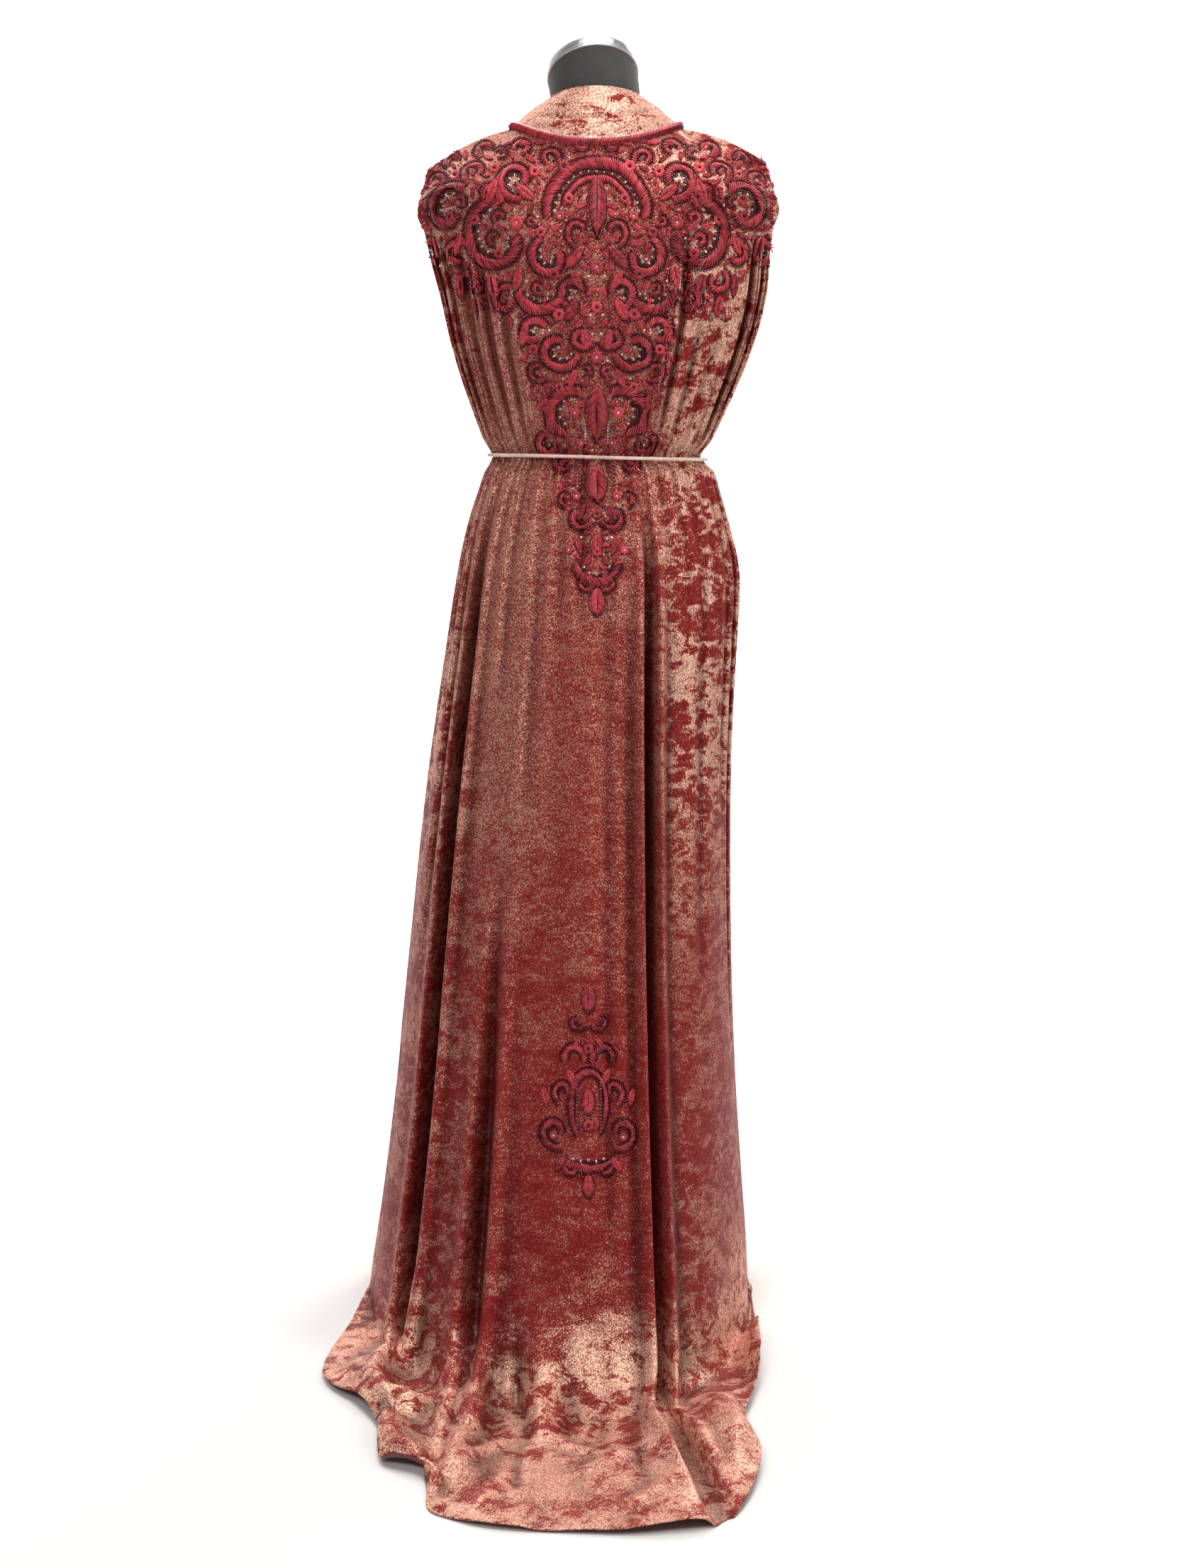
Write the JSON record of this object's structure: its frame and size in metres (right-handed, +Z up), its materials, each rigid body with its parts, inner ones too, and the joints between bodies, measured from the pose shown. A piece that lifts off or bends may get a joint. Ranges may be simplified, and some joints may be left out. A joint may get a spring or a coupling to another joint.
{
  "type": "kaftan on a limbless dress form",
  "caption": "Full-length sleeveless kaftan with a train and raised applique, belted with a thin cord at the waist and worn by a limbless dress form on a round foot.",
  "frame": {"origin": "centre of the underside of the stand's round base, on the floor, on the axis of the pole", "axes": "+Z up along the pole; -Y out of the garment's back, where the train lies; +X to the right-hand side seen from behind"},
  "size_m": [0.5606, 1, 1.6159],
  "materials": {
    "velvet": "crushed velvet with metallic thread, crimson blotches over champagne pink",
    "beadwork": "glossy crimson and maroon beads, with clear stones and pearls",
    "cord": "braided pale pink cord, satin",
    "jersey": "dark grey jersey stretched over the form",
    "chrome": "polished",
    "steel": "brushed"
  },
  "bodies": {
    "root": {"back_bodice": "velvet", "back_skirt_left": "velvet", "back_skirt_centre": "velvet", "back_skirt_right": "velvet", "front_bodice": "velvet", "front_skirt_left": "velvet", "front_skirt_centre": "velvet", "front_skirt_right": "velvet", "neckband": "velvet", "neck_braid": "beadwork", "belt_cord": "cord", "applique_arch": "beadwork", "applique_arch_leaf": "beadwork", "applique_column_scroll_left": "beadwork", "applique_column_scroll_right": "beadwork", "applique_drop_leaf": "beadwork", "applique_inner_scroll_left": "beadwork", "applique_inner_scroll_right": "beadwork", "applique_long_scroll_left": "beadwork", "applique_long_scroll_right": "beadwork", "applique_neck_scroll_left": "beadwork", "applique_neck_scroll_right": "beadwork", "applique_oval": "beadwork", "applique_pendant_arc": "beadwork", "applique_plume_left": "beadwork", "applique_plume_right": "beadwork", "applique_shoulder_scroll_left": "beadwork", "applique_shoulder_scroll_right": "beadwork", "applique_skirt_arch": "beadwork", "applique_skirt_crest_left": "beadwork", "applique_skirt_crest_right": "beadwork", "applique_skirt_foot_leaf": "beadwork", "applique_skirt_scroll_left": "beadwork", "applique_skirt_scroll_right": "beadwork", "applique_skirt_swag": "beadwork", "applique_skirt_top_leaf": "beadwork", "applique_spindle": "beadwork", "applique_swag_left": "beadwork", "applique_swag_right": "beadwork", "form_torso": "jersey", "form_neck_cap": "chrome", "stand_pole": "steel", "stand_collar": "steel", "stand_base": "steel"}
  },
  "joints": []
}
